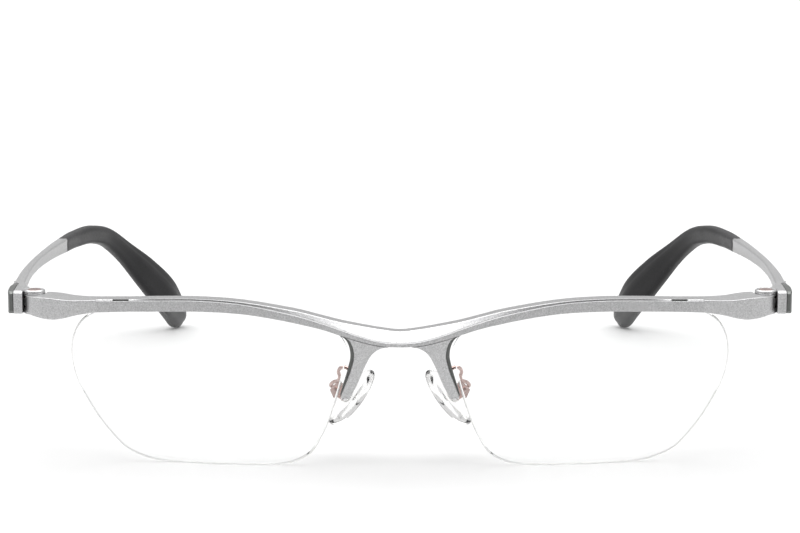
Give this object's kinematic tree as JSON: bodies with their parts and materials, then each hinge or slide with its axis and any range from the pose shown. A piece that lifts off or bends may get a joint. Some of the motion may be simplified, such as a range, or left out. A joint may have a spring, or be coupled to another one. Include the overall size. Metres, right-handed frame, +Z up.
{
  "type": "half rim eyeglasses",
  "caption": "Half rim spectacles: a curved metal brow bar holds clear lenses with nylon line; folding metal temples end in rubber tips, and pads rest on the nose.",
  "frame": {"origin": "on the table under the middle of the spectacles' box, temples open", "axes": "+X towards the wearer's left, +Y back along the temples, +Z up"},
  "size_m": [0.1496, 0.1388, 0.0326],
  "materials": {
    "satin_metal": "sandblasted satin titanium",
    "dark_metal": "satin gunmetal",
    "rose_metal": "rose gold plated",
    "screw_metal": "polished",
    "bush_metal": "machined",
    "washer_metal": "machined",
    "tip_rubber": "satin",
    "lens": "clear coated",
    "nylon": "clear",
    "clear_strip": "clear",
    "pad_silicone": "clear gloss",
    "pad_plastic": "clear"
  },
  "bodies": {
    "front": {"front_bar": "satin_metal", "brow_bar": "satin_metal", "nasal_leg_left": "satin_metal", "end_piece_left": "satin_metal", "rim_liner_left": "clear_strip", "lens_left": "lens", "lens_line_left": "nylon", "pad_arm_left": "rose_metal", "pad_box_left": "rose_metal", "pad_screw_left": "screw_metal", "hinge_bush_left": "bush_metal", "hinge_washers_left": "washer_metal", "nasal_leg_right": "satin_metal", "end_piece_right": "satin_metal", "rim_liner_right": "clear_strip", "lens_right": "lens", "lens_line_right": "nylon", "pad_arm_right": "rose_metal", "pad_box_right": "rose_metal", "pad_screw_right": "screw_metal", "hinge_bush_right": "bush_metal", "hinge_washers_right": "washer_metal"},
    "temple_left": {"temple_arm_left": "satin_metal", "side_plate_left": "dark_metal", "temple_tip_left": "tip_rubber", "hinge_screw_left": "rose_metal"},
    "pad_left": {"nose_pad_left": "pad_silicone", "pad_core_left": "pad_plastic"},
    "temple_right": {"temple_arm_right": "satin_metal", "side_plate_right": "dark_metal", "temple_tip_right": "tip_rubber", "hinge_screw_right": "rose_metal"},
    "pad_right": {"nose_pad_right": "pad_silicone", "pad_core_right": "pad_plastic"}
  },
  "joints": [
    {"name": "temple_fold_left", "type": "hinge", "parent": "front", "child": "temple_left", "pos_m": [0.0695, -0.05506, 0.02995], "axis": [0, 0, 1], "range_deg": [0, 70]},
    {"name": "temple_fold_right", "type": "hinge", "parent": "front", "child": "temple_right", "pos_m": [-0.0695, -0.05506, 0.02995], "axis": [0, 0, -1], "range_deg": [0, 80]},
    {"name": "pad_rock_left", "type": "hinge", "parent": "front", "child": "pad_left", "pos_m": [0.01093, -0.05884, 0.01313], "axis": [-0.2533, -0.8997, -0.3554], "range_deg": [-6, 6]},
    {"name": "pad_rock_right", "type": "hinge", "parent": "front", "child": "pad_right", "pos_m": [-0.01093, -0.05884, 0.01313], "axis": [0.2533, -0.8997, -0.3554], "range_deg": [-6, 6]}
  ]
}
